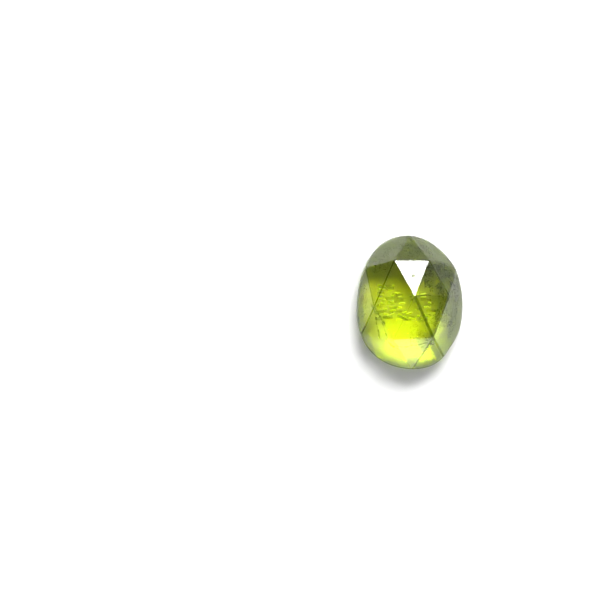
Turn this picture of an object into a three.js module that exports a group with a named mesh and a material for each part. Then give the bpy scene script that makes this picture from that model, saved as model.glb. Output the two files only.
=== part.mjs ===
// Rose-cut peridot: a loose oval gemstone with a flat base and a low dome of flat facets.
// Millimetres, +Z up. The base lies on z = 0, and the origin is under the middle of the outline.
// +Y runs along the stone, towards its narrower end.
//
// The stone is one crystal, so it is one closed solid. From the top down it has a star of six facets
// around the peak, six triangles that point down to the girdle, seven steep facets that end on the
// girdle in arcs, the girdle wall, a small bevel and the base.

import * as THREE from "three";

// Driving dimensions.
const LENGTH = 10.0;
const WIDTH = 7.92;
const HEIGHT = 4.19;

// The outline is a rounded oval cut by eye: slightly squarer than an ellipse, narrower at its +Y end,
// with its two ends leaning apart, and ground a little flatter in one place.
const SQUARENESS = 2.22; // exponent of the outline, 2 for a plain ellipse
const NARROWING = 0.093; // share by which the +Y end is narrower and the -Y end wider
const LEAN = 0.22; // how far each end is shifted sideways
const FLAT_SPOT = { turn: 313.5, spread: 20, depth: 0.06 }; // degrees, degrees, share of the radius

// The girdle wall stands upright, and a bevel keeps its lower edge from chipping.
const BEVEL = 0.2; // height and width of the bevel around the base
const ARC_STEP = 2.2; // degrees of the outline between two columns of the wall

// Corners of the star, counter-clockwise seen from above, as x, y and height.
const PEAK = corner(0.05, 0.46, HEIGHT);
const STAR = {
  northEast: corner(1.22, 3.11, 2.9),
  northWest: corner(-1.37, 3.1, 3.31),
  west: corner(-2.83, -0.32, 2.95),
  southWest: corner(-1.43, -2.73, 3.24),
  southEast: corner(1.48, -2.59, 3.41),
  east: corner(2.69, 0.48, 3.09),
};

// Where the facets meet on the girdle wall: degrees along the outline from +X, and height.
const GIRDLE = {
  eastNorthEast: { turn: 28, height: 1.76 },
  north: { turn: 88, height: 1.61 },
  westNorthWest: { turn: 151.5, height: 2.13 },
  westSouthWest: { turn: 206, height: 1.7 },
  south: { turn: 269, height: 1.65 },
  southEast: { turn: 303, height: 1.37 },
  east: { turn: 359.5, height: 1.11 },
};

// Each triangle joins two corners of the star to the point on the girdle between them.
const TRIANGLES = [
  ["east", "eastNorthEast", "northEast"],
  ["northEast", "north", "northWest"],
  ["northWest", "westNorthWest", "west"],
  ["west", "westSouthWest", "southWest"],
  ["southWest", "south", "southEast"],
  ["southEast", "southEast", "east"],
];

// Each girdle facet spreads from one corner of the star to an arc of the girdle. The long east side
// took two facets, because one flat could not follow its bulge.
const GIRDLE_FACETS = [
  ["east", "east", "eastNorthEast"],
  ["northEast", "eastNorthEast", "north"],
  ["northWest", "north", "westNorthWest"],
  ["west", "westNorthWest", "westSouthWest"],
  ["southWest", "westSouthWest", "south"],
  ["southEast", "south", "southEast"],
  ["east", "southEast", "east"],
];

function corner(x, y, height) {
  return new THREE.Vector3(x, y, height);
}

// A point of the outline, shrunk inwards by inset, at a height.
function outlinePoint(turn, inset, height) {
  const angle = THREE.MathUtils.degToRad(turn);
  const fromFlat = THREE.MathUtils.euclideanModulo(turn, 360) - FLAT_SPOT.turn;
  const ground = 1 - FLAT_SPOT.depth * Math.exp(-((fromFlat / FLAT_SPOT.spread) ** 2));
  const across = Math.cos(angle);
  const along = Math.sin(angle);
  const power = 2 / SQUARENESS;
  const taper = 1 - NARROWING * along;
  const shift = LEAN * along * Math.abs(along);
  const x = (WIDTH / 2) * Math.sign(across) * Math.abs(across) ** power * taper - shift;
  const y = (LENGTH / 2) * Math.sign(along) * Math.abs(along) ** power;
  const shrunk = (size) => ground * (1 - (2 * inset) / size);
  return corner(x * shrunk(WIDTH), y * shrunk(LENGTH), height);
}

function wallPoint(turn, height) {
  return outlinePoint(turn, 0, height);
}

// The wall's point right under a facet: where the facet's plane meets an upright line of the wall.
function wallTop(turn, plane) {
  const column = new THREE.Line3(wallPoint(turn, BEVEL), wallPoint(turn, HEIGHT));
  return plane.intersectLine(column, new THREE.Vector3());
}

// Flat faces are gathered as triangles, each counter-clockwise seen from outside the stone.
const faceCorners = [];

function addFace(first, ...others) {
  for (let i = 1; i < others.length; i += 1) {
    faceCorners.push(first, others[i - 1], others[i]);
  }
}

function addStar() {
  const corners = Object.values(STAR);
  corners.forEach((point, i) => addFace(PEAK, point, corners[(i + 1) % corners.length]));
}

function addTriangles() {
  for (const [right, foot, left] of TRIANGLES) {
    const { turn, height } = GIRDLE[foot];
    addFace(STAR[right], wallPoint(turn, height), STAR[left]);
  }
}

// One girdle facet with all that lies under its arc: the wall, the bevel and a slice of the base.
function addGirdleFacet([top, from, to]) {
  const start = GIRDLE[from];
  const end = GIRDLE[to];
  const endTurn = end.turn > start.turn ? end.turn : end.turn + 360;
  const steps = Math.round((endTurn - start.turn) / ARC_STEP);
  const startPoint = wallPoint(start.turn, start.height);
  const endPoint = wallPoint(end.turn, end.height);
  const plane = new THREE.Plane().setFromCoplanarPoints(STAR[top], startPoint, endPoint);

  const columns = [];
  for (let i = 0; i <= steps; i += 1) {
    const turn = start.turn + ((endTurn - start.turn) * i) / steps;
    let upper = wallTop(turn, plane);
    if (i === 0) upper = startPoint;
    if (i === steps) upper = endPoint;
    columns.push({ upper, lower: wallPoint(turn, BEVEL), base: outlinePoint(turn, BEVEL, 0) });
  }

  addFace(STAR[top], ...columns.map((column) => column.upper));
  for (let i = 1; i <= steps; i += 1) {
    const here = columns[i - 1];
    const next = columns[i];
    addFace(here.lower, next.lower, next.upper, here.upper);
    addFace(here.base, next.base, next.lower, here.lower);
    addFace(corner(0, 0, 0), next.base, here.base);
  }
}

addStar();
addTriangles();
GIRDLE_FACETS.forEach(addGirdleFacet);

const geometry = new THREE.BufferGeometry().setFromPoints(faceCorners);
geometry.computeVertexNormals();

const peridot = new THREE.MeshStandardMaterial({ color: 0xa9c41f, roughness: 0.05, metalness: 0 });
const stone = new THREE.Mesh(geometry, peridot);
stone.name = "stone";

const part = new THREE.Group();
part.add(stone);

export default part;
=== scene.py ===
# %% [markdown]
# # A rose-cut peridot on white paper
# A rose cut has a flat base and a low dome of flat facets. The stone is clear, so nearly all of its look
# is light: what a facet mirrors, what it bends, and what the crystal takes out of the light on its way.
# The scene therefore takes the solid stone, gives it the usual index of peridot and a loss of light that
# was fitted to a photo, and then places the lamps.

# %% Load the solid stone
import math

import bmesh
import bpy
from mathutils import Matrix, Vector


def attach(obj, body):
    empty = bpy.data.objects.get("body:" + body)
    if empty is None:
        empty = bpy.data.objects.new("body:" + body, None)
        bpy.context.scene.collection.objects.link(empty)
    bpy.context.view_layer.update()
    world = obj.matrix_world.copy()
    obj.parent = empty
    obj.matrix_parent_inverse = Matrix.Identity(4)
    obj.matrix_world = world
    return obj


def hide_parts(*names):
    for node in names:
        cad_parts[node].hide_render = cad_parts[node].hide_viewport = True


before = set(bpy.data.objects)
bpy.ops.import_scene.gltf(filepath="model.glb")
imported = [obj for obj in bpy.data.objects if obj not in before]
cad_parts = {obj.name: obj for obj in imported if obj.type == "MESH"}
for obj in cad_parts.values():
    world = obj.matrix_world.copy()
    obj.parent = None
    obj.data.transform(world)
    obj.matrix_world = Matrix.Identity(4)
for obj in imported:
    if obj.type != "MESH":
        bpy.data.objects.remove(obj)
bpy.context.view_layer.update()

MM = 0.001
stone_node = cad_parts["stone"]

# %% [markdown]
# ## The camera
# The picture looks taken from straight above. The stone lies right of the middle of the picture, so the
# camera stands to its left, and sees a little of the girdle wall on that side. How high it stood is a
# guess.

# %% Camera
PICTURE_WIDTH = 45.7 * MM
CAMERA_HEIGHT = 85.65 * MM
STONE_FROM_MIDDLE = Vector((8.28, -0.18, 0)) * MM

camera_data = bpy.data.cameras.new("camera")
camera_data.lens = camera_data.sensor_width * CAMERA_HEIGHT / PICTURE_WIDTH
camera_data.clip_start = 1 * MM
camera = bpy.data.objects.new("camera", camera_data)
camera.location = Vector((0, 0, CAMERA_HEIGHT)) - STONE_FROM_MIDDLE
bpy.context.scene.collection.objects.link(camera)
bpy.context.scene.camera = camera
print("lens", round(camera_data.lens, 1), "mm")


# %% [markdown]
# ## Small helpers
# Every piece is a mesh with one material, so one helper puts it in the scene. A second one starts a
# material. A third places a point of the picture inside the stone: the camera looks along a line, and
# the point is where that line crosses a given height.

# %% Helpers for pieces and materials
PIXELS = 600
PIXEL_WIDTH = PICTURE_WIDTH / PIXELS


def add_piece(name, mesh, material):
    piece = bpy.data.objects.new(name, mesh)
    bpy.context.scene.collection.objects.link(piece)
    mesh.materials.clear()
    mesh.materials.append(material)
    return piece


def new_material(name):
    material = bpy.data.materials.new(name)
    material.use_nodes = True
    return material, material.node_tree.nodes, material.node_tree.links


def under_pixel(column, row, height):
    """The point at this height, in mm, that the camera sees at a pixel, if nothing bent the line."""
    on_paper = Vector((column - PIXELS / 2, PIXELS / 2 - row, 0)) * PIXEL_WIDTH - STONE_FROM_MIDDLE
    return on_paper.lerp(camera.location, height * MM / CAMERA_HEIGHT)


print("one pixel is", round(PIXEL_WIDTH / MM, 4), "mm of paper")

# %% [markdown]
# ## The paper
# The white ground is taken for matt card. Light that falls on it spreads a millimetre or so inside it
# before it comes out again. That distance was chosen for the shadow it gives, soft at the edge and
# lighter close to the stone. The sheet is kept a hair below the stone, because a polished base that
# rests on card touches it only at a few high spots, and the thin layer of air between them matters:
# light that meets the base at a flat angle is turned back into the stone.

# %% Paper
PAPER_SIZE = 900 * MM
PAPER_GAP = 0.02 * MM
PAPER_WHITE = (0.92, 0.92, 0.92, 1)
LIGHT_SPREAD = 1.4 * MM
PAPER_ROUGHNESS = 0.9
PAPER_SHINE = 0.1

paper_material, nodes, links = new_material("white_paper")
sheet = nodes["Principled BSDF"]
sheet.subsurface_method = "BURLEY"
sheet.inputs["Base Color"].default_value = PAPER_WHITE
sheet.inputs["Roughness"].default_value = PAPER_ROUGHNESS
sheet.inputs["Specular IOR Level"].default_value = PAPER_SHINE
sheet.inputs["Subsurface Weight"].default_value = 1.0
sheet.inputs["Subsurface Radius"].default_value = (1, 1, 1)
sheet.inputs["Subsurface Scale"].default_value = LIGHT_SPREAD
paper_mesh = bpy.data.meshes.new("paper")
half = PAPER_SIZE / 2
corners = [(-half, -half), (half, -half), (half, half), (-half, half)]
paper_mesh.from_pydata([(x, y, -PAPER_GAP) for x, y in corners], [], [(0, 1, 2, 3)])
paper = add_piece("paper", paper_mesh, paper_material)

# %% [markdown]
# ## The cut stone
# The solid already has its facets. What it lacks is what wear does to their edges. In the photo a few
# long ridges and the upper edge of the girdle show as dark lines. They are taken for rubbed strips, three
# to eleven hundredths of a millimetre wide, and their darkness is painted shade in the material. The other
# facet edges look crisp, and only get a hairline of three thousandths. A bevel of the merged mesh makes
# both, with a weight for each edge, and a face attribute marks the rubbed strips for the material. The
# solid's triangles are first joined into whole facets, so that no line crosses a face. The girdle wall is
# the one curved surface, and it alone is shaded smooth.

# %% Merge the triangles into facets
STEEPEST_FACET = 0.35
WIDEST_STRIP = 0.13 * MM
GIRDLE_STRIP = 0.1 * MM
HAIRLINE = 0.003 * MM
SAME_POINT = 0.001 * MM
SAME_FACET = math.radians(0.3)
HEIGHT_COUNTS = 0.2
R1, R2, R3, R4, R5, R6 = [
    (-1.37, 3.1), (1.22, 3.11), (2.69, 0.48), (1.48, -2.59), (-1.43, -2.73), (-2.83, -0.32)
]
PEAK = (0.05, 0.46)
RIDGES = [
    (0.05 * MM, [R1, R2]),
    (0.11 * MM, [PEAK, R4]),
    (0.09 * MM, [R4, (2.5, -4.07)]),
    (0.05 * MM, [R1, R6]),
    (0.07 * MM, [R6, (-3.7, -2.38)]),
    (0.08 * MM, [R4, (0.11, -5.0)]),
    (0.05 * MM, [R4, R3, R2]),
    (0.03 * MM, [R6, (-3.42, 2.57)]),
]


def merged_facets(node):
    shape = bmesh.new()
    shape.from_mesh(node.data)
    bmesh.ops.remove_doubles(shape, verts=shape.verts, dist=SAME_POINT)
    bmesh.ops.dissolve_limit(shape, angle_limit=SAME_FACET, verts=shape.verts, edges=shape.edges)
    return shape


def nearest_corner(shape, x, y):
    """The mesh corner under a point seen from above, and the highest one where several are near."""
    aim = Vector((x, y)) * MM
    return min(shape.verts, key=lambda corner: (corner.co.xy - aim).length - HEIGHT_COUNTS * corner.co.z)


def on_wall(face):
    return abs(face.normal.z) < STEEPEST_FACET


def weigh_edges(shape):
    """Bevel weights: how wide each edge is worn, as a share of the widest."""
    weight = shape.edges.layers.float.new("bevel_weight_edge")
    shape.normal_update()
    for edge in shape.edges:
        walls = [on_wall(face) for face in edge.link_faces]
        if any(walls) and not all(walls):
            edge[weight] = GIRDLE_STRIP / WIDEST_STRIP
        elif not any(walls):
            edge[weight] = HAIRLINE / WIDEST_STRIP
    for width, path in RIDGES:
        corners = [nearest_corner(shape, *point) for point in path]
        for start, end in zip(corners, corners[1:]):
            edge = shape.edges.get((start, end))
            if edge:
                edge[weight] = width / WIDEST_STRIP
            print("ridge to", [round(value / MM, 2) for value in end.co], "found" if edge else "missing")


# %% Round the edges and mark the worn strips
WORN_EDGE = 0.3
GROUND_GIRDLE = 1.0
NARROWEST_WORN_FACE = 0.007 * MM
STRIP = 1
BEVEL_STEPS = 3


def rounded(name, shape):
    mesh = bpy.data.meshes.new(name)
    shape.to_mesh(mesh)
    shape.free()
    mesh.materials.append(peridot)
    mesh.materials.append(peridot)
    piece = bpy.data.objects.new(name, mesh)
    bpy.context.scene.collection.objects.link(piece)
    bevel = piece.modifiers.new("worn edges", "BEVEL")
    bevel.limit_method = "WEIGHT"
    bevel.width = WIDEST_STRIP
    bevel.segments = BEVEL_STEPS
    bevel.use_clamp_overlap = False
    bevel.material = STRIP
    result = bpy.data.meshes.new_from_object(piece.evaluated_get(bpy.context.evaluated_depsgraph_get()))
    bpy.data.objects.remove(piece)
    return result


def face_width(mesh, face):
    """About how wide a long narrow face is."""
    corners = [mesh.vertices[i].co for i in face.vertices]
    length = max((a - b).length for a in corners for b in corners)
    return face.area / length


def mark_worn(mesh):
    worn = mesh.attributes.new("worn", "FLOAT", "FACE")
    for i, face in enumerate(mesh.polygons):
        strip = face.material_index == STRIP
        face.use_smooth = on_wall(face) and not strip
        if strip and face_width(mesh, face) > NARROWEST_WORN_FACE:
            worn.data[i].value = WORN_EDGE
        elif on_wall(face):
            worn.data[i].value = GROUND_GIRDLE
        face.material_index = 0
    print("faces", len(mesh.polygons), "worn", sum(value.value > 0 for value in worn.data))


# %% [markdown]
# ## Peridot
# Peridot bends light strongly, with an index of refraction of about 1.67, and iron in the crystal takes
# out nearly all the blue, some of the red and little of the green. That loss happens along the way
# through the stone, so it belongs in a volume and not on the surface: thin places are pale and deep
# ones are strong yellow-green. The index is the usual one for peridot. The three losses are set so that
# the colours come near the photo's, and are not measured.

# %% Peridot material
PERIDOT_INDEX = 1.67
LOSS_PER_MM = {"red": 0.068, "green": 0.042, "blue": 0.70}


def absorb_inside(material, loss_per_mm):
    strongest = max(loss_per_mm.values())
    nodes, links = material.node_tree.nodes, material.node_tree.links
    inside = nodes.new("ShaderNodeVolumeAbsorption")
    inside.inputs["Color"].default_value = (*[1 - loss / strongest for loss in loss_per_mm.values()], 1)
    inside.inputs["Density"].default_value = strongest / MM
    links.new(inside.outputs["Volume"], nodes["Material Output"].inputs["Volume"])


peridot, nodes, links = new_material("peridot")
surface = nodes["Principled BSDF"]
surface.inputs["Base Color"].default_value = (1, 1, 1, 1)
surface.inputs["IOR"].default_value = PERIDOT_INDEX
surface.inputs["Transmission Weight"].default_value = 1
absorb_inside(peridot, LOSS_PER_MM)

# %% [markdown]
# ## Polish, wear and painted shade
# A polished facet is never perfect. Small patches are a little dull, the girdle wall is taken as only
# ground, and the worn ridges as rough. All of these are a change of roughness: noise in the stone's own
# coordinates gives the dull patches, and the face attribute gives the wall and the strips. The facet
# that mirrors the lamp also has one scuff, a small oval of its own. The ridges look dark, so a dark
# tint paints shade on the strips and the wall, a little less in some spots.

# %% Roughness of the polish, and painted shade on the strips and the wall
DULL_PATCH_SIZE = 0.35 * MM
DULL_PATCH_ROUGHNESS = 0.35
DULL_FROM, DULLEST_FROM = 0.5, 0.75
DULL_PATCH_NOISE = {"Detail": 4.0, "Roughness": 0.65}
SCUFF_PIXEL = (413.4, 275.8)
SCUFF_HEIGHT = 3.7
SCUFF_SIZE = (0.28 * MM, 0.15 * MM, 1 * MM)
SCUFF_ROUGHNESS = 0.32
SCUFF_CORE = 0.4
WORN_ROUGHNESS = 0.42
# Painted shade: the dark tint that the worn strips and the girdle wall take in their colour.
PAINTED_SHADE = (0.15, 0.19, 0.014, 1)
SHADE_PATCH_SIZE = 0.25 * MM
LEAST_PAINTED_SHADE = 0.8
LEAST_SHADE_TO, FULL_SHADE_FROM = 0.3, 0.5
WORN_FROM = 0.1

place = nodes.new("ShaderNodeTexCoord").outputs["Object"]
patches = nodes.new("ShaderNodeTexNoise")
patches.inputs["Scale"].default_value = 1 / DULL_PATCH_SIZE
for setting, value in DULL_PATCH_NOISE.items():
    patches.inputs[setting].default_value = value
links.new(place, patches.inputs["Vector"])
dull = nodes.new("ShaderNodeMapRange")
dull.inputs["From Min"].default_value = DULL_FROM
dull.inputs["From Max"].default_value = DULLEST_FROM
dull.inputs["To Max"].default_value = DULL_PATCH_ROUGHNESS
links.new(patches.outputs["Fac"], dull.inputs["Value"])
worn_strip = nodes.new("ShaderNodeAttribute")
worn_strip.attribute_name = "worn"
polish = nodes.new("ShaderNodeMath")
polish.operation = "MULTIPLY_ADD"
links.new(worn_strip.outputs["Fac"], polish.inputs[0])
polish.inputs[1].default_value = WORN_ROUGHNESS
links.new(dull.outputs[0], polish.inputs[2])

from_scuff = nodes.new("ShaderNodeVectorMath")
from_scuff.operation = "SUBTRACT"
links.new(place, from_scuff.inputs[0])
from_scuff.inputs[1].default_value = under_pixel(*SCUFF_PIXEL, SCUFF_HEIGHT)
in_scuffs = nodes.new("ShaderNodeVectorMath")
in_scuffs.operation = "DIVIDE"
links.new(from_scuff.outputs["Vector"], in_scuffs.inputs[0])
in_scuffs.inputs[1].default_value = SCUFF_SIZE
how_far = nodes.new("ShaderNodeVectorMath")
how_far.operation = "LENGTH"
links.new(in_scuffs.outputs["Vector"], how_far.inputs[0])
scuff = nodes.new("ShaderNodeMapRange")
scuff.inputs["From Min"].default_value = SCUFF_CORE
scuff.inputs["From Max"].default_value = 1.0
scuff.inputs["To Min"].default_value = SCUFF_ROUGHNESS
scuff.inputs["To Max"].default_value = 0.0
links.new(how_far.outputs["Value"], scuff.inputs["Value"])
roughness = nodes.new("ShaderNodeMath")
roughness.operation = "ADD"
links.new(polish.outputs[0], roughness.inputs[0])
links.new(scuff.outputs[0], roughness.inputs[1])
links.new(roughness.outputs[0], surface.inputs["Roughness"])

# Painted shade: the base colour of the worn strips and the wall turns to the dark tint, a little less in
# noise spots.
lighter_shade_spots = nodes.new("ShaderNodeTexNoise")
lighter_shade_spots.inputs["Scale"].default_value = 1 / SHADE_PATCH_SIZE
links.new(place, lighter_shade_spots.inputs["Vector"])
where_shaded = nodes.new("ShaderNodeMapRange")
where_shaded.inputs["From Min"].default_value = LEAST_SHADE_TO
where_shaded.inputs["From Max"].default_value = FULL_SHADE_FROM
where_shaded.inputs["To Min"].default_value = LEAST_PAINTED_SHADE
links.new(lighter_shade_spots.outputs["Fac"], where_shaded.inputs["Value"])
is_worn = nodes.new("ShaderNodeMath")
is_worn.operation = "GREATER_THAN"
is_worn.inputs[1].default_value = WORN_FROM
links.new(worn_strip.outputs["Fac"], is_worn.inputs[0])
painted_shade_amount = nodes.new("ShaderNodeMath")
painted_shade_amount.operation = "MULTIPLY"
links.new(is_worn.outputs[0], painted_shade_amount.inputs[0])
links.new(where_shaded.outputs[0], painted_shade_amount.inputs[1])
shade_tint = nodes.new("ShaderNodeMixRGB")
shade_tint.inputs["Color1"].default_value = (1, 1, 1, 1)
shade_tint.inputs["Color2"].default_value = PAINTED_SHADE
links.new(painted_shade_amount.outputs[0], shade_tint.inputs["Fac"])
links.new(shade_tint.outputs["Color"], surface.inputs["Base Color"])

facets = merged_facets(stone_node)
weigh_edges(facets)
stone_mesh = rounded("polished_stone", facets)
mark_worn(stone_mesh)
stone = add_piece("polished_stone", stone_mesh, peridot)
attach(stone, "root")
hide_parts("stone")

# %% [markdown]
# ## Helpers for geometry nodes
# What repeats inside the stone is made by geometry nodes. A tree is started with named inputs, and each
# node is added by one call that gives its settings, values and links. The result is then turned into
# a plain mesh, because a finished piece carries no modifier.

# %% Helpers for geometry nodes
def start_tree(name, inputs):
    tree = bpy.data.node_groups.new(name, "GeometryNodeTree")
    tree.interface.new_socket("Geometry", in_out="OUTPUT", socket_type="NodeSocketGeometry")
    for label, kind in inputs.items():
        tree.interface.new_socket(label, in_out="INPUT", socket_type="NodeSocket" + kind)
    tree.nodes.new("NodeGroupOutput")
    return tree, tree.nodes.new("NodeGroupInput").outputs


def put(tree, kind, inputs, **settings):
    node = tree.nodes.new(kind)
    for setting, value in settings.items():
        setattr(node, setting, value)
    for socket, value in inputs.items():
        if isinstance(value, bpy.types.NodeSocket):
            tree.links.new(value, node.inputs[socket])
        else:
            node.inputs[socket].default_value = value
    return node.outputs


def calculate(tree, operation, *values):
    return put(tree, "ShaderNodeMath", dict(enumerate(values)), operation=operation)[0]


def finish_tree(tree, geometry, material):
    real = put(tree, "GeometryNodeRealizeInstances", {"Geometry": geometry})[0]
    dressed = put(tree, "GeometryNodeSetMaterial", {"Geometry": real, "Material": material})[0]
    tree.links.new(dressed, tree.nodes["Group Output"].inputs[0])


def grow(name, tree, values, source=None):
    """Runs a tree on a new piece and keeps the result as a plain mesh."""
    mesh = source or bpy.data.meshes.new(name)
    piece = bpy.data.objects.new(name, mesh)
    bpy.context.scene.collection.objects.link(piece)
    modifier = piece.modifiers.new(name, "NODES")
    modifier.node_group = tree
    for item in tree.interface.items_tree:
        if item.in_out == "INPUT" and item.name in values:
            modifier[item.identifier] = values[item.name]
    evaluated = piece.evaluated_get(bpy.context.evaluated_depsgraph_get())
    result = bpy.data.meshes.new_from_object(evaluated)
    piece.modifiers.remove(modifier)
    piece.data = result
    result.name = name
    print(name, "has", len(result.polygons), "faces")
    return piece


# %% [markdown]
# ## Streaks
# Bands of short wavy streaks cross the stone, each a bright line beside a dark one. A photo from above
# can't tell what they are or how deep they lie. Here they are two kinds of thread: pale ones that
# scatter light and dark ones that take out more light. The names silk and iron-rich are labels for the
# two looks. The dark ones lie a little lower and half a row aside, which gives the pairs. One tree lays
# out rows of short lines, turns and shifts each at random, bends them with noise and gives them a
# tapered section of six sides. An index inside the stone is that of the thread against the peridot around
# it, so it is close to one.

# %% Thread materials
SILK = (0.95, 1.0, 0.45, 1)
DARK_THREAD_INDEX = 1.05
DARK_THREAD_LOSS_PER_MM = {"red": 4.5, "green": 3.4, "blue": 6.0}

def clear_inclusion(name, index, loss_per_mm):
    """A see-through material for pieces inside the stone."""
    material = new_material(name)[0]
    surface = material.node_tree.nodes["Principled BSDF"]
    surface.inputs["Base Color"].default_value = (1, 1, 1, 1)
    surface.inputs["Roughness"].default_value = 0.0
    surface.inputs["IOR"].default_value = index
    surface.inputs["Transmission Weight"].default_value = 1
    absorb_inside(material, loss_per_mm)
    return material


silk = new_material("silk")[0]
pale = silk.node_tree.nodes["Principled BSDF"]
pale.inputs["Base Color"].default_value = SILK
pale.inputs["Roughness"].default_value = 1.0
pale.inputs["Specular IOR Level"].default_value = 0.0
iron_rich = clear_inclusion("iron_rich_crystal", DARK_THREAD_INDEX, DARK_THREAD_LOSS_PER_MM)


# %% Tree for threads along lines
TUBE_SIDES = 6
MOST_SHIFT = (0.3 * MM, 0.1 * MM, 0.4 * MM)
MOST_TURN = (0, 0.5, 0.2)
LENGTH_RANGE = (0.3, 1.6)
POINTS_ALONG = 12
TAPER_TOP = 1.02


def opposite(vector):
    return tuple(-value for value in vector)


def tapered_tube(tree, curve, radius, sides):
    """A closed tube along a curve, thick in the middle and nearly pointed at its ends."""
    along = put(tree, "GeometryNodeSplineParameter", {})["Factor"]
    from_middle = calculate(tree, "MULTIPLY_ADD", along, 2.0, -1.0)
    taper = calculate(tree, "SUBTRACT", TAPER_TOP, calculate(tree, "MULTIPLY", from_middle, from_middle))
    thickness = calculate(tree, "SQRT", taper)
    shaped = put(tree, "GeometryNodeSetCurveRadius", {"Curve": curve, "Radius": thickness})[0]
    ring = put(tree, "GeometryNodeCurvePrimitiveCircle", {"Resolution": sides, "Radius": radius})[0]
    return put(tree, "GeometryNodeCurveToMesh", {
        "Curve": shaped, "Profile Curve": ring, "Fill Caps": True})[0]


def wavy_threads_tree():
    tree, given = start_tree("wavy_threads", {
        "Place": "Vector", "Rows": "Int", "Threads in a row": "Int", "Row length": "Float",
        "Rows length": "Float", "Slant": "Float", "Thread length": "Float", "Thread radius": "Float",
        "Waviness": "Float", "Wave scale": "Float", "Seed": "Int", "Material": "Material"})
    grid = put(tree, "GeometryNodeMeshGrid", {
        "Size X": given["Row length"], "Size Y": given["Rows length"],
        "Vertices X": given["Threads in a row"], "Vertices Y": given["Rows"]})["Mesh"]
    jitter = put(tree, "FunctionNodeRandomValue", {
        0: opposite(MOST_SHIFT), 1: MOST_SHIFT, "Seed": given["Seed"]}, data_type="FLOAT_VECTOR")[0]
    across = put(tree, "ShaderNodeSeparateXYZ", {0: put(tree, "GeometryNodeInputPosition", {})[0]})["X"]
    fall = put(tree, "ShaderNodeCombineXYZ", {"Y": calculate(tree, "MULTIPLY", across, given["Slant"])})[0]
    offset = put(tree, "ShaderNodeVectorMath", {0: jitter, 1: fall}, operation="ADD")[0]
    starts = put(tree, "GeometryNodeSetPosition", {"Geometry": grid, "Offset": offset})[0]
    line = put(tree, "GeometryNodeCurvePrimitiveLine", {"Start": (-0.5, 0, 0), "End": (0.5, 0, 0)})[0]
    fine_line = put(tree, "GeometryNodeResampleCurve", {"Curve": line, "Count": POINTS_ALONG})[0]
    stretch = put(tree, "FunctionNodeRandomValue", {
        2: LENGTH_RANGE[0], 3: LENGTH_RANGE[1], "Seed": given["Seed"]}, data_type="FLOAT")[1]
    lengths = calculate(tree, "MULTIPLY", given["Thread length"], stretch)
    size = put(tree, "ShaderNodeCombineXYZ", {"X": lengths, "Y": lengths, "Z": lengths})[0]
    turn = put(tree, "FunctionNodeRandomValue", {
        0: opposite(MOST_TURN), 1: MOST_TURN, "Seed": given["Seed"]}, data_type="FLOAT_VECTOR")[0]
    lines = put(tree, "GeometryNodeInstanceOnPoints", {
        "Points": starts, "Instance": fine_line, "Rotation": turn, "Scale": size})[0]
    loose = put(tree, "GeometryNodeRealizeInstances", {"Geometry": lines})[0]
    noise = put(tree, "ShaderNodeTexNoise", {"Scale": given["Wave scale"], "Detail": 1.0})["Color"]
    centred = put(tree, "ShaderNodeVectorMath", {0: noise, 1: (0.5, 0.5, 0.5)}, operation="SUBTRACT")[0]
    sway = put(tree, "ShaderNodeVectorMath", {0: centred, "Scale": given["Waviness"]}, operation="SCALE")[0]
    bent = put(tree, "GeometryNodeSetPosition", {"Geometry": loose, "Offset": sway})[0]
    tubes = tapered_tube(tree, bent, given["Thread radius"], TUBE_SIDES)
    placed = put(tree, "GeometryNodeTransform", {"Geometry": tubes, "Translation": given["Place"]})[0]
    finish_tree(tree, placed, given["Material"])
    return tree


threads_tree = wavy_threads_tree()

# %% Lay the streaks
STREAK_FIELDS = [
    {"pixel": (389, 300), "Rows": 7, "Threads in a row": 2, "Row length": 0.7 * MM, "Rows length": 2.0 * MM},
    {"pixel": (402, 303), "Rows": 5, "Threads in a row": 1, "Row length": 0.1 * MM, "Rows length": 1.4 * MM},
    {"pixel": (411, 313), "Rows": 2, "Threads in a row": 1, "Row length": 0.1 * MM, "Rows length": 0.33 * MM},
    {"pixel": (422, 307), "Rows": 5, "Threads in a row": 1, "Row length": 0.1 * MM, "Rows length": 1.4 * MM},
]
BRIGHT = {"Thread length": 0.42 * MM, "Thread radius": 0.07 * MM, "Material": silk}
DARK = {"Thread length": 0.7 * MM, "Thread radius": 0.09 * MM, "Material": iron_rich}
BRIGHT_HEIGHT = 2.2
DARK_HEIGHT = 1.8
HALF_A_ROW = Vector((0, -0.17, 0)) * MM
STREAK_SHAPE = {"Slant": -0.1, "Waviness": 0.3 * MM, "Wave scale": 1500.0}
DARK_SEEDS_FROM = 20

for number, field in enumerate(STREAK_FIELDS, 1):
    pixel = field.pop("pixel")
    bright_place = under_pixel(*pixel, BRIGHT_HEIGHT)
    dark_place = under_pixel(*pixel, DARK_HEIGHT) + HALF_A_ROW
    for name, kind, place, seed in (
        (f"silk_{number}", BRIGHT, bright_place, number),
        (f"dark_streaks_{number}", DARK, dark_place, number + DARK_SEEDS_FROM),
    ):
        streaks = grow(name, threads_tree, {**field, **STREAK_SHAPE, **kind, "Place": place, "Seed": seed})
        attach(streaks, "root")

# %% [markdown]
# ## Veils and painted shade
# The stone looks a little cloudy under both sides, the far end and beside the long ridge. Such a veil is
# built as a crowd of tiny flat grains too small to see one by one, which take out light. They give the
# cloudy look, and they also paint shade: they darken parts that are darker from how the light falls
# through the stone. Their depths are guessed. A tree scatters points in a box, keeps those where a noise
# is high, so that they gather in clouds, and puts a flat grain at each, turned at random.

# %% Tree for clouds of grains
CLOUD_EDGE = 0.44
CLOUD_DETAIL = 2.0
GRAIN_FLATNESS = 0.3
GRAIN_TURN = (3.0, 3.0, 3.0)
GRAIN_SIZES = (0.4, 1.0)


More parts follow.
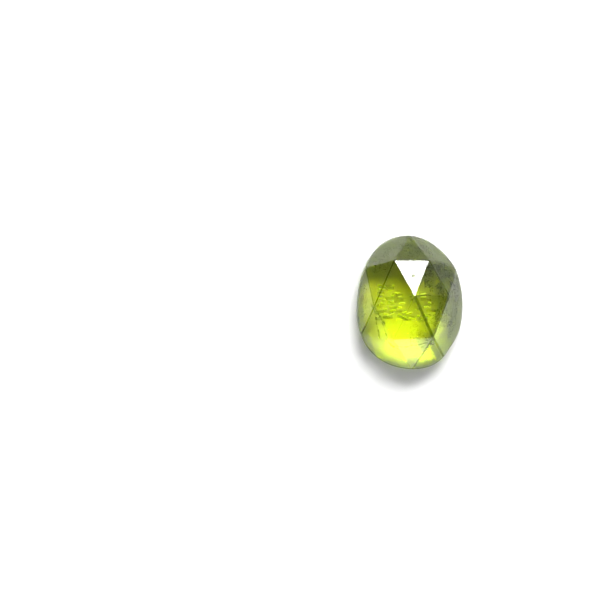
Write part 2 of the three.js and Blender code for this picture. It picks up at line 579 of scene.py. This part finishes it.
def cloud_tree():
    tree, given = start_tree("cloud_of_grains", {
        "Place": "Vector", "Size": "Vector", "Count": "Int", "Cloud scale": "Float", "Grain size": "Float",
        "Seed": "Int", "Material": "Material"})
    anywhere = put(tree, "FunctionNodeRandomValue", {
        0: (-0.5, -0.5, -0.5), 1: (0.5, 0.5, 0.5), "Seed": given["Seed"]}, data_type="FLOAT_VECTOR")[0]
    in_box = put(tree, "ShaderNodeVectorMath", {0: anywhere, 1: given["Size"], 2: given["Place"]},
                 operation="MULTIPLY_ADD")[0]
    points = put(tree, "GeometryNodePoints", {"Count": given["Count"], "Position": in_box})[0]
    noise = put(tree, "ShaderNodeTexNoise", {
        "Scale": given["Cloud scale"], "Detail": CLOUD_DETAIL})["Fac"]
    sparse = calculate(tree, "LESS_THAN", noise, CLOUD_EDGE)
    clouds = put(tree, "GeometryNodeDeleteGeometry", {"Geometry": points, "Selection": sparse})[0]
    grain = put(tree, "GeometryNodeMeshIcoSphere", {"Radius": 1.0, "Subdivisions": 1})["Mesh"]
    turn = put(tree, "FunctionNodeRandomValue", {
        0: (0, 0, 0), 1: GRAIN_TURN, "Seed": given["Seed"]}, data_type="FLOAT_VECTOR")[0]
    vary = put(tree, "FunctionNodeRandomValue", {
        2: GRAIN_SIZES[0], 3: GRAIN_SIZES[1], "Seed": given["Seed"]}, data_type="FLOAT")[1]
    long_side = calculate(tree, "MULTIPLY", given["Grain size"], vary)
    short_side = calculate(tree, "MULTIPLY", long_side, GRAIN_FLATNESS)
    size = put(tree, "ShaderNodeCombineXYZ", {"X": long_side, "Y": long_side, "Z": short_side})[0]
    grains = put(tree, "GeometryNodeInstanceOnPoints", {
        "Points": clouds, "Instance": grain, "Rotation": turn, "Scale": size})[0]
    finish_tree(tree, grains, given["Material"])
    return tree


grains_tree = cloud_tree()

# %% Place the veils, which also paint shade
# The grains' loss of light gives both the cloudy look and the painted shade of the veils.
VEIL_AND_SHADE_LOSS_PER_MM = {"red": 20.0, "green": 17.0, "blue": 30.0}
VEIL_INDEX = 1.03
VEIL_GRAINS = {"Cloud scale": 1000.0, "Grain size": 0.06 * MM}

veil_and_shade_material = clear_inclusion("veil", VEIL_INDEX, VEIL_AND_SHADE_LOSS_PER_MM)

VEILS = {
    "right_veil": {"Place": Vector((1.95, 0.5, 1.45)) * MM, "Size": Vector((2.0, 4.4, 0.5)) * MM,
                   "Count": 3600, "Seed": 3},
    "inner_veil": {"Place": Vector((1.35, 1.8, 2.2)) * MM, "Size": Vector((1.4, 1.8, 0.4)) * MM,
                   "Count": 1300, "Seed": 11},
    "right_rim_veil": {"Place": Vector((2.85, -0.3, 1.0)) * MM, "Size": Vector((0.8, 4.6, 0.5)) * MM,
                       "Count": 1300, "Seed": 12},
    "left_rim_veil": {"Place": Vector((-3.1, -0.2, 1.0)) * MM, "Size": Vector((0.7, 3.2, 0.5)) * MM,
                      "Count": 400, "Seed": 14},
    "near_veil": {"Place": Vector((0.75, -2.0, 1.7)) * MM, "Size": Vector((1.7, 1.3, 0.4)) * MM,
                  "Count": 300, "Seed": 9},
    "far_veil": {"Place": Vector((-0.3, 3.4, 1.2)) * MM, "Size": Vector((3.4, 1.4, 0.4)) * MM,
                 "Count": 800, "Seed": 5},
    "far_left_veil": {"Place": Vector((-1.9, 2.8, 1.5)) * MM, "Size": Vector((1.5, 1.4, 0.4)) * MM,
                      "Count": 400, "Seed": 8},
}

for name, values in VEILS.items():
    veil = grow(name, grains_tree, {**values, **VEIL_GRAINS, "Material": veil_and_shade_material})
    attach(veil, "root")

# %% [markdown]
# ## Fine dark lines
# Fine dark lines lie in two groups near corners of the star. They are taken for cracks that healed while
# the crystal grew and left strings of stained droplets, which is a guess. The lines are drawn as points
# of the picture, with a guessed height for each end, and a tree strings droplets along them.
# A droplet lies along its line, and its size varies at random with a fixed seed.

# %% Stain material
STAIN_LOSS_PER_MM = {"red": 8.0, "green": 6.4, "blue": 16.0}
STAIN_INDEX = 1.03

stain_material = clear_inclusion("iron_stain", STAIN_INDEX, STAIN_LOSS_PER_MM)


# %% Tree for droplets on lines
DROPLET_SIZES = (0.55, 1.25)


def droplets_tree():
    tree, given = start_tree("droplets_on_lines", {
        "Lines": "Geometry", "Spacing": "Float", "Droplet length": "Float", "Droplet radius": "Float",
        "Seed": "Int", "Material": "Material"})
    curves = put(tree, "GeometryNodeMeshToCurve", {"Mesh": given["Lines"]})["Curve"]
    even = put(tree, "GeometryNodeResampleCurve", {
        "Curve": curves, "Length": given["Spacing"]}, mode="LENGTH")[0]
    ball = put(tree, "GeometryNodeMeshIcoSphere", {"Radius": 1.0, "Subdivisions": 2})["Mesh"]
    tangent = put(tree, "GeometryNodeInputTangent", {})[0]
    facing = put(tree, "FunctionNodeAlignRotationToVector", {"Vector": tangent}, axis="X")[0]
    vary = put(tree, "FunctionNodeRandomValue", {
        2: DROPLET_SIZES[0], 3: DROPLET_SIZES[1], "Seed": given["Seed"]}, data_type="FLOAT")[1]
    length = calculate(tree, "MULTIPLY", given["Droplet length"], vary)
    radius = calculate(tree, "MULTIPLY", given["Droplet radius"], vary)
    size = put(tree, "ShaderNodeCombineXYZ", {"X": length, "Y": radius, "Z": radius})[0]
    drops = put(tree, "GeometryNodeInstanceOnPoints", {
        "Points": even, "Instance": ball, "Rotation": facing, "Scale": size})[0]
    finish_tree(tree, drops, given["Material"])
    return tree


def lines_mesh(name, lines):
    """Open lines of points seen in the picture. The height changes evenly along each line."""
    points, edges = [], []
    for (first_height, last_height), pixels in lines:
        for i, (column, row) in enumerate(pixels):
            height = first_height + (last_height - first_height) * i / (len(pixels) - 1)
            if i:
                edges.append((len(points) - 1, len(points)))
            points.append(under_pixel(column, row, height))
    mesh = bpy.data.meshes.new(name)
    mesh.from_pydata(points, edges, [])
    return mesh


string_tree = droplets_tree()

# %% Draw the fine dark lines
CRACK_LINES = [
    ((2.6, 1.6), [(376, 311), (380, 314), (384, 319), (387, 325), (389, 331), (392, 337), (397, 341)]),
    ((2.5, 2.0), [(377, 318), (378, 325), (380, 331), (381, 334)]),
    ((2.6, 2.5), [(373, 306), (376, 310), (379, 313), (381, 317), (378, 319)]),
    ((1.7, 2.0), [(396, 341), (401, 343), (406, 343), (411, 342)]),
    ((2.0, 2.6), [(411, 341), (417, 342), (424, 340), (429, 341), (432, 343)]),
    ((2.0, 2.3), [(417, 345), (422, 344), (427, 345)]),
    ((2.4, 2.6), [(419, 333), (423, 334), (426, 337)]),
]

DROPLETS = {"Spacing": 0.3 * MM, "Droplet length": 0.17 * MM, "Droplet radius": 0.07 * MM, "Seed": 7}

healed_cracks = grow("healed_cracks", string_tree, {
    **DROPLETS, "Material": stain_material}, lines_mesh("crack_lines", CRACK_LINES))
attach(healed_cracks, "root")

# %% [markdown]
# ## Light
# A large soft lamp stands beyond the stone's far end, 47 degrees from straight up. The photo doesn't show
# it, and its place and size were found by trying. One facet of the star mirrors it into the camera.
# Most facets on that side send its light to the base at too flat an angle to leave, so the paper under
# that end stays dark, and the near end glows. A wider and weaker light behind it softens the edge of
# the shadow. Both are area lamps, because their size in degrees sets how soft every reflection and
# shadow is.

# %% Lamps
LAMP_TURN = 79.9
LAMP_FROM_ZENITH = 47.0
LAMP_DISTANCE = 300 * MM
WINDOW = {"wide": 37.0, "tall": 18.0, "radiance": 25.5}
WALL_GLOW = {"wide": 70.0, "tall": 45.0, "radiance": 0.2}
GLOW_BEHIND_LAMP = 1.05

turn, lean = math.radians(LAMP_TURN), math.radians(LAMP_FROM_ZENITH)
towards_lamp = Vector((math.sin(lean) * math.cos(turn), math.sin(lean) * math.sin(turn), math.cos(lean)))


def add_lamp(name, distance, wide, tall, radiance):
    """A rectangular lamp, sized to span the given degrees when seen from LAMP_DISTANCE away."""
    data = bpy.data.lights.new(name, "AREA")
    data.shape = "RECTANGLE"
    data.size = 2 * LAMP_DISTANCE * math.tan(math.radians(wide / 2))
    data.size_y = 2 * LAMP_DISTANCE * math.tan(math.radians(tall / 2))
    data.energy = radiance * math.pi * data.size * data.size_y
    lamp = bpy.data.objects.new(name, data)
    lamp.location = towards_lamp * distance
    lamp.rotation_mode = "QUATERNION"
    lamp.rotation_quaternion = towards_lamp.to_track_quat("Z", "Y")
    lamp.visible_camera = False
    bpy.context.scene.collection.objects.link(lamp)
    print(name, "measures", round(data.size / MM), "by", round(data.size_y / MM), "mm")


add_lamp("window", LAMP_DISTANCE, **WINDOW)
add_lamp("wall_glow", LAMP_DISTANCE * GLOW_BEHIND_LAMP, **WALL_GLOW)

# %% [markdown]
# ## The room
# A polished facet mirrors the room around it, and the photo doesn't show that room. This one is a guess
# set by trying, so that the facets come near the photo's brightness. It is dim overhead. Low down it is
# dark on the left, brighter on the right, and brightest on the near side. Five of the six triangles
# mirror the low parts as a grey haze over the green. The sixth and the girdle facets are steeper and
# mirror the card.

# %% Room
ROOM_OVERHEAD = 0.15
ROOM_LEFT = 0.05
ROOM_RIGHT = 0.8
ROOM_NEAR_SIDE = 2.3
LEFT_TO_RIGHT = (-0.6, 0.5)
MIDDLE_TO_NEAR_SIDE = (-0.2, -0.9)
OVERHEAD_TO_LOW = (0.65, 0.25)

world = bpy.data.worlds.new("room")
world.use_nodes = True
nodes, links = world.node_tree.nodes, world.node_tree.links
direction = nodes.new("ShaderNodeSeparateXYZ")
links.new(nodes.new("ShaderNodeTexCoord").outputs["Generated"], direction.inputs[0])


def fade(source, start, end, low, high):
    """A smooth change from low to high while a part of the direction goes from start to end."""
    node = nodes.new("ShaderNodeMapRange")
    node.interpolation_type = "SMOOTHSTEP"
    for socket, value in zip(("From Min", "From Max", "To Min", "To Max"), (start, end, low, high)):
        node.inputs[socket].default_value = value
    links.new(source, node.inputs["Value"])
    return node.outputs[0]


side_walls = fade(direction.outputs["X"], *LEFT_TO_RIGHT, ROOM_LEFT, ROOM_RIGHT)
near_wall = fade(direction.outputs["Y"], *MIDDLE_TO_NEAR_SIDE, 0.0, ROOM_NEAR_SIDE)
walls = nodes.new("ShaderNodeMath")
walls.operation = "ADD"
links.new(side_walls, walls.inputs[0])
links.new(near_wall, walls.inputs[1])
how_low = fade(direction.outputs["Z"], *OVERHEAD_TO_LOW, 0.0, 1.0)
brightness = nodes.new("ShaderNodeMath")
brightness.operation = "MULTIPLY_ADD"
links.new(walls.outputs[0], brightness.inputs[0])
links.new(how_low, brightness.inputs[1])
brightness.inputs[2].default_value = ROOM_OVERHEAD
links.new(brightness.outputs[0], nodes["Background"].inputs["Strength"])
nodes["Background"].inputs["Color"].default_value = (1, 1, 1, 1)
bpy.context.scene.world = world

# %% Picture settings
# Clamping would take light out of the clear stone, and blurring would soften what its facets mirror, so
# neither is used.
scene = bpy.context.scene
scene.view_settings.view_transform = "Standard"
scene.cycles.sample_clamp_indirect = 0
scene.cycles.blur_glossy = 0
